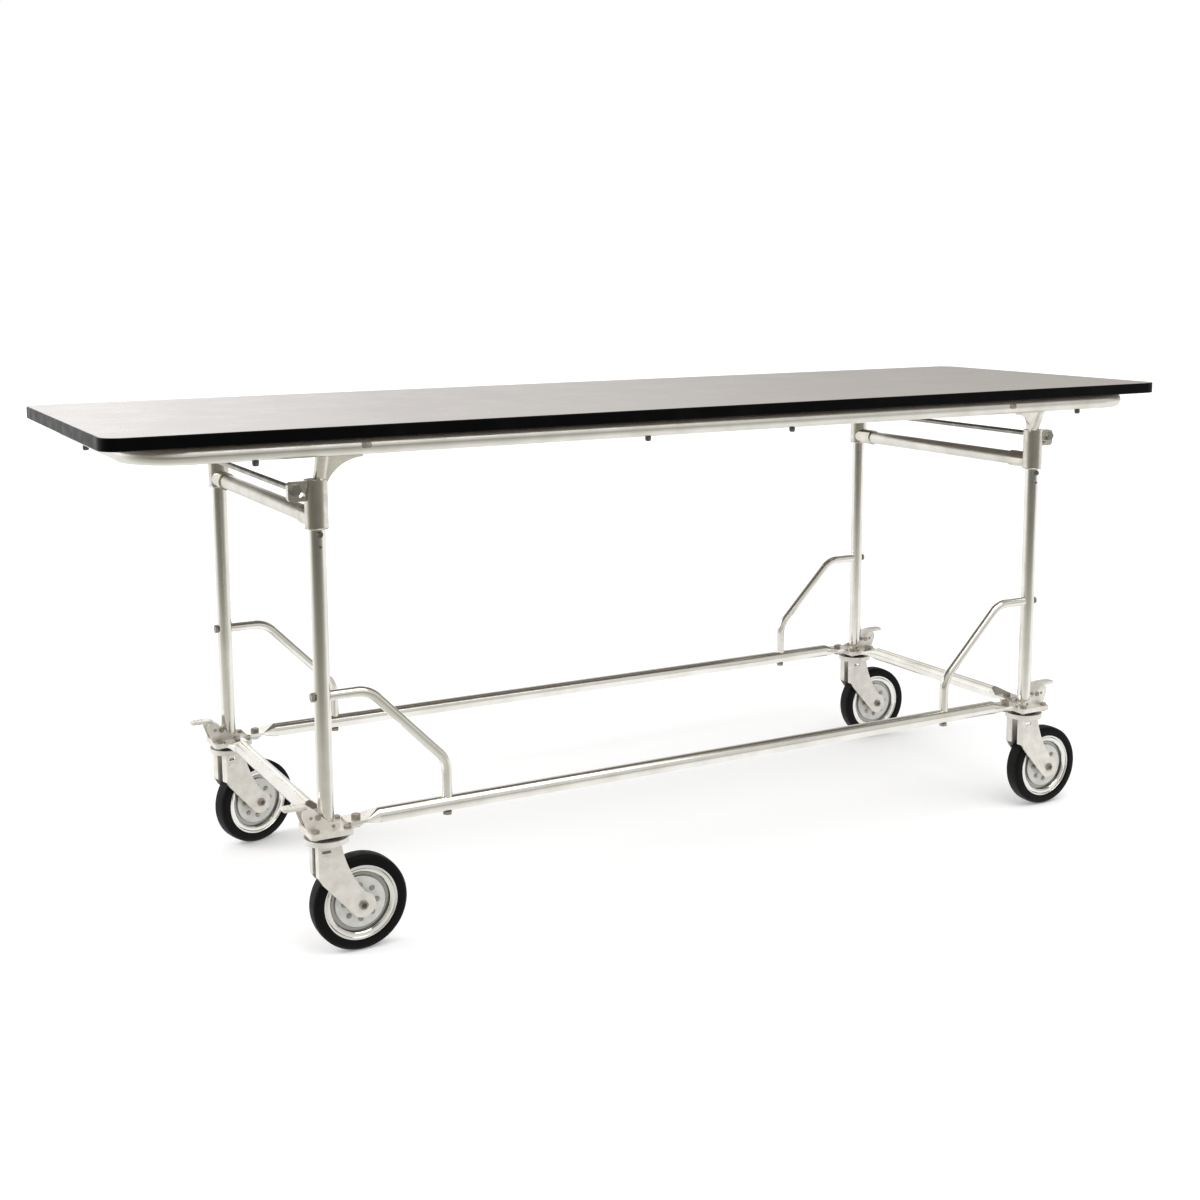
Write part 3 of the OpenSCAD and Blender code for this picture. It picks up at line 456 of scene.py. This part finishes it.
# Copies of one block. Each one's z follows its direction, its x lies across that and a helper axis, and its y
# across both: point = place + x first + y second + z along.
def blocksAt(points, places, directions):
    along = np.asarray(directions, float)
    along = along / np.linalg.norm(along, axis=1, keepdims=True)
    nearlyUpright = np.abs(along[:, 2:]) > 0.9
    helper = np.where(nearlyUpright, (1.0, 0.0, 0.0), (0.0, 0.0, 1.0))
    first = np.cross(helper, along)
    first /= np.linalg.norm(first, axis=1, keepdims=True)
    second = np.cross(along, first)
    x, y, z = (points[None, :, i, None] for i in range(3))
    turned = x * first[:, None] + y * second[:, None] + z * along[:, None]
    return (turned + np.asarray(places)[:, None]).reshape(-1, 3)


def repeatFaces(faces, copies, stride):
    return (faces[None] + stride * np.arange(copies)[:, None, None]).reshape(-1, faces.shape[1])


def addPiece(name, points, faceGroups, material, body):
    mesh = bpy.data.meshes.new(name)
    mesh.from_pydata(points.tolist(), [], [face for group in faceGroups for face in group.tolist()])
    mesh.shade_smooth()
    mesh.materials.append(material)
    piece = bpy.data.objects.new(name, mesh)
    scene.collection.objects.link(piece)
    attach(piece, body)


def addButtons(name, values, places, directions, material, body):
    points = blockPoints(values)
    groups = [repeatFaces(faces, len(places), len(points))
              for faces in closedFaces(values["rows"], values["columns"])]
    addPiece(name, blocksAt(points, places, directions), groups, material, body)


# Eight rivets hold the two halves of each disc: domed heads on both faces, dark in the photograph
discRivets = {
    "halfSizes": (0.0043, 0.0043, 0.0019),
    "upPower": 0.55,
    "roundPower": 1,
    "rows": 9,
    "columns": 20,
    "count": 8,
    "circle": 0.027,                        # radius of the ring of rivets
    "faceHalf": 0.009,                      # from the disc's middle to its face
}


# Places: centre + circle (cos t up + sin t level), pushed out to each face along the axle
def addDiscRivets(corner):
    centre, axis = (np.array(v) for v in axleOf(corner))
    upward = np.array((0.0, 0.0, 1.0))
    level = np.cross(upward, axis)
    count = discRivets["count"]
    turn = (np.arange(count) * 2 * np.pi / count)[:, None]
    spots = centre + discRivets["circle"] * (np.cos(turn) * upward + np.sin(turn) * level)
    face = discRivets["faceHalf"] * axis
    places = np.concatenate((spots + face, spots - face))
    directions = np.concatenate((np.tile(axis, (count, 1)), np.tile(-axis, (count, 1))))
    addButtons("discRivets_" + corner, discRivets, places, directions, finishes["dulledZincBolt"],
               "roller_" + corner)


# Each corner of the frame: the leg's axis, the sign outboard (X) and the sign outward (Y)
def cornerOf(name):
    joint = next(j for j in frame["joints"] if j["name"] == "swivel_" + name)
    x, y = joint["pos_m"][:2]
    return x, y, math.copysign(1, x), math.copysign(1, y)


# Rivets that join each pedal bracket's ears to its web, on the outsides of both ears
earRivets = {
    "halfSizes": (0.0027, 0.0027, 0.0012),
    "upPower": 0.7,
    "roundPower": 1,
    "rows": 9,
    "columns": 20,
    "earFace": 0.01575,                     # from the leg's axis to the ear's outside
    "spots": [(0.0285, 0.2245), (-0.0065, 0.2068)],     # outboard of the leg's axis, and up
}

# The small plug in each leg under the socket's screw
legPlug = {
    "halfSizes": (0.0024, 0.0024, 0.0008),
    "upPower": 0.7,
    "roundPower": 1,
    "rows": 9,
    "columns": 20,
    "height": 0.6335,
    "tubeRadius": 0.0127,
}


def addFrameRivets():
    places, directions, plugs, outward = [], [], [], []
    for name in corners:
        x, y, outboard, side = cornerOf(name)
        for along, height in earRivets["spots"]:
            for face in (-1, 1):
                places.append((x + outboard * along, y + face * earRivets["earFace"], height))
                directions.append((0, face, 0))
        plugs.append((x, y + side * legPlug["tubeRadius"], legPlug["height"]))
        outward.append((0, side, 0))
    addButtons("earRivets", earRivets, places, directions, finishes["dulledZincBolt"], "frame")
    addButtons("legPlugs", legPlug, plugs, outward, finishes["darkenedSteel"], "frame")


# Hoop clips: a small pad pressed over the tube near each joint of the hoop's long runs and its bent ends
hoopClip = {
    "halfSizes": (0.0078, 0.0046, 0.0007),
    "upPower": 0.6,
    "roundPower": 0.45,
    "rows": 11,
    "columns": 32,
    "clipX": (-0.615, 0.632),               # metres from the middle, left and right
    "tubeRadius": 0.0127,
    "tilt": 8,                              # degrees up from the tube's side
}


# The block is bent over the tube: x runs along the tube, y over the tube's radius becomes an angle,
# and z adds to the radius
def addHoopClips():
    low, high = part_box("hoop_front")
    tubeY = -(low.y + high.y) / 2
    tubeZ = (low.z + high.z) / 2
    block = blockPoints(hoopClip)
    angle = math.radians(hoopClip["tilt"]) + block[:, 1] / hoopClip["tubeRadius"]
    reach = hoopClip["tubeRadius"] + block[:, 2]
    shapes = [np.stack((clipX - side * block[:, 0], side * (tubeY + reach * np.cos(angle)),
                        tubeZ + reach * np.sin(angle)), -1)
              for clipX in hoopClip["clipX"] for side in (-1, 1)]
    groups = [repeatFaces(faces, len(shapes), len(block))
              for faces in closedFaces(hoopClip["rows"], hoopClip["columns"])]
    addPiece("hoopClips", np.concatenate(shapes), groups, finishes["dulledZincBolt"], "frame")


# Lips: the casting's rounded edge at the foot of each socket
socketLip = {"radius": 0.0167, "bead": 0.0012, "height": 0.6604, "rows": 12, "columns": 64}


# A ring of points (r + c cos b, z + c sin b) turned about the leg, closed both ways
def addSocketLip(corner):
    x, y = cornerOf(corner)[:2]
    rows, columns = socketLip["rows"], socketLip["columns"]
    row, column = np.meshgrid(np.arange(rows), np.arange(columns), indexing="ij")
    bead = row * 2 * np.pi / rows
    turn = column * 2 * np.pi / columns
    reach = socketLip["radius"] + socketLip["bead"] * np.cos(bead)
    points = np.stack((x + reach * np.cos(turn), y + reach * np.sin(turn),
                       socketLip["height"] + socketLip["bead"] * np.sin(bead)), -1).reshape(-1, 3)
    above, beside = (row + 1) % rows, (column + 1) % columns
    quads = np.stack((row * columns + column, row * columns + beside, above * columns + beside,
                      above * columns + column), -1).reshape(-1, 4)
    addPiece("socketLip_" + corner, points, [quads], finishes["nickelCasting"], "frame")


for corner in corners:
    addDiscRivets(corner)
    addSocketLip(corner)
addFrameRivets()
addHoopClips()
print("small pieces added")


# Studio: white paper, soft lights, and what the metal mirrors. That is paper which grows dark towards the
# camera, pale walls that are brightest behind the table's left end, and a darker ceiling. Shades are stops of
# position and colour. The walls' positions go from 0 for a direction against wallHeading to 1 along it, and
# the ceiling's are how far the direction rises, from the walls at black to the ceiling at white.
studio = {
    "floorHalf": 14,
    "floorDrop": 0.0004,                    # under the tyres, so that the two surfaces don't share a plane
    "floorGlow": (0.235, 0.5),              # under the table, and far from it
    "glowReach": (1.5, 3.0),                # metres from the table's middle, for the glow's two ends
    "floorWhite": 0.85,
    "bounceWhite": 0.8,
    "paperReach": 5,                        # metres towards the camera, from position 0 to 1 below
    "paperShades": [(0.06, "#ffffff"), (0.2, "#cbcac4"), (0.3, "#c4c2bb"), (0.4, "#959389"), (0.5, "#85837a"),
                    (0.64, "#73716a"), (0.86, "#5a5852"), (1.0, "#4a4843")],
    "leftLight": {"place": (-2.9, 0.9, 2.0), "aim": (-0.5, 0, 0.8), "size": 1.6, "power": 42},
    "topLight": {"place": (0.4, -1.7, 3.6), "aim": (0.2, 0, 0.5), "size": 3.0, "power": 58},
    "ambient": 0.87,
    "wallHeading": -20,                     # degrees from +Y, where the wall is brightest
    "wallStrength": 1.45,
    "wallShades": [(0.0, "#b7b7b5"), (0.6, "#949389"), (0.7315, "#a3a29d"), (0.782, "#adaca8"),
                   (0.831, "#c2c2c0"), (0.875, "#cecdcc"), (0.8945, "#e0e0df"), (0.912, "#edecec"),
                   (0.927, "#ffffff"), (0.945, "#ffffff"), (0.965, "#dad9d8"), (1.0, "#dad9d8")],
    "ceilingShades": [(0.0, "#000000"), (0.6, "#000000"), (0.78, "#ffffff"), (1.0, "#ffffff")],
    "ceiling": "#595853",
}
white = (1, 1, 1, 1)


# Gives a ramp its stops, and returns the colour that comes out of it
def setShades(ramp, shades, between="EASE"):
    ramp.color_ramp.interpolation = between
    stops = ramp.color_ramp.elements
    while len(stops) < len(shades):
        stops.new(1)
    for stop, (position, colour) in zip(stops, shades):
        stop.position = position
        stop.color = hexColour(colour)
    return ramp.outputs[0]


# How far a vector reaches along a level heading: its dot product with (sin h, cos h, 0)
def reachAlong(tree, vector, degrees):
    heading = (math.sin(math.radians(degrees)), math.cos(math.radians(degrees)), 0)
    reach = addNode(tree, "ShaderNodeVectorMath", {1: heading}, {0: vector}, operation="DOT_PRODUCT")
    return reach.outputs["Value"]


# The camera sees paper that glows with part of its white, so the table's shadow on it stays faint.
# Reflections see it grow darker towards the camera, by the distance along the camera's heading.
def addFloor():
    half = studio["floorHalf"]
    outline = [(-half, -half, 0), (half, -half, 0), (half, half, 0), (-half, half, 0)]
    mesh = bpy.data.meshes.new("studioFloor")
    mesh.from_pydata(outline, [], [(0, 1, 2, 3)])
    floor = bpy.data.objects.new("studioFloor", mesh)
    floor.location.z = -studio["floorDrop"]
    scene.collection.objects.link(floor)
    material, tree, shader, points = startMaterial("whitePaper")
    output = next(n for n in tree.nodes if n.type == "OUTPUT_MATERIAL")
    tree.nodes.remove(shader)
    rays = addNode(tree, "ShaderNodeLightPath").outputs
    front = addNode(tree, "ShaderNodeMapRange", {"From Max": studio["paperReach"]},
                    {"Value": reachAlong(tree, points, camera["heading"] + 180)}).outputs[0]
    shade = setShades(addNode(tree, "ShaderNodeValToRGB", links={0: front}), studio["paperShades"])
    mirrored = addNode(tree, "ShaderNodeEmission", links={0: shade})
    bounce, paper = (addNode(tree, "ShaderNodeBsdfDiffuse", {"Color": (grey, grey, grey, 1)})
                     for grey in (studio["bounceWhite"], studio["floorWhite"]))
    away = addNode(tree, "ShaderNodeVectorMath", links={0: points}, operation="LENGTH").outputs["Value"]
    (near, far), (underTable, beyond) = studio["glowReach"], studio["floorGlow"]
    strength = addNode(tree, "ShaderNodeMapRange",
                       {"From Min": near, "From Max": far, "To Min": underTable, "To Max": beyond},
                       {"Value": away})
    glow = addNode(tree, "ShaderNodeEmission", {"Color": white}, {"Strength": strength.outputs[0]})
    seen = addNode(tree, "ShaderNodeAddShader", links={0: paper.outputs[0], 1: glow.outputs[0]})
    lit = addNode(tree, "ShaderNodeMixShader",
                  links={0: rays["Is Camera Ray"], 1: bounce.outputs[0], 2: seen.outputs[0]})
    both = addNode(tree, "ShaderNodeMixShader",
                   links={0: rays["Is Glossy Ray"], 1: lit.outputs[0], 2: mirrored.outputs[0]})
    tree.links.new(both.outputs[0], output.inputs["Surface"])
    mesh.materials.append(material)


def addSoftLight(name):
    values = studio[name]
    data = bpy.data.lights.new(name, "AREA")
    data.shape = "SQUARE"
    data.size = values["size"]
    data.energy = values["power"]
    lamp = bpy.data.objects.new(name, data)
    lamp.location = values["place"]
    aim = Vector(values["aim"]) - Vector(values["place"])
    lamp.rotation_euler = aim.to_track_quat("-Z", "Y").to_euler()
    scene.collection.objects.link(lamp)


# White to the camera. A reflection sees walls whose shade follows the direction's level part against the
# brightest heading, and a ceiling that takes over as the direction rises.
def addRoom():
    world = bpy.data.worlds.new("paleRoom")
    scene.world = world
    world.use_nodes = True
    tree = world.node_tree
    tree.nodes.clear()
    rays = addNode(tree, "ShaderNodeLightPath").outputs
    direction = addNode(tree, "ShaderNodeTexCoord").outputs["Generated"]
    flat = addNode(tree, "ShaderNodeVectorMath", {1: (1, 1, 0)}, {0: direction}, operation="MULTIPLY")
    unit = addNode(tree, "ShaderNodeVectorMath", links={0: flat.outputs[0]}, operation="NORMALIZE")
    level = unit.outputs[0]
    facing = addNode(tree, "ShaderNodeMapRange", {"From Min": -1},
                     {"Value": reachAlong(tree, level, studio["wallHeading"])}).outputs[0]
    walls = setShades(addNode(tree, "ShaderNodeValToRGB", links={0: facing}), studio["wallShades"], "LINEAR")
    rise = addNode(tree, "ShaderNodeSeparateXYZ", links={0: direction}).outputs["Z"]
    above = setShades(addNode(tree, "ShaderNodeValToRGB", links={0: rise}), studio["ceilingShades"])
    room = addNode(tree, "ShaderNodeMix", {7: hexColour(studio["ceiling"])}, {0: above, 6: walls},
                   data_type="RGBA").outputs[2]
    backdrop = addNode(tree, "ShaderNodeBackground", {"Color": white})
    mirrored = addNode(tree, "ShaderNodeBackground", {"Strength": studio["wallStrength"]}, {"Color": room})
    ambient = addNode(tree, "ShaderNodeBackground", {"Color": white, "Strength": studio["ambient"]})
    lit = addNode(tree, "ShaderNodeMixShader",
                  links={0: rays["Is Glossy Ray"], 1: ambient.outputs[0], 2: mirrored.outputs[0]})
    both = addNode(tree, "ShaderNodeMixShader",
                   links={0: rays["Is Camera Ray"], 1: lit.outputs[0], 2: backdrop.outputs[0]})
    addNode(tree, "ShaderNodeOutputWorld", links={"Surface": both.outputs[0]})


addFloor()
addSoftLight("leftLight")
addSoftLight("topLight")
addRoom()
scene.view_settings.view_transform = "Standard"
print("studio set")
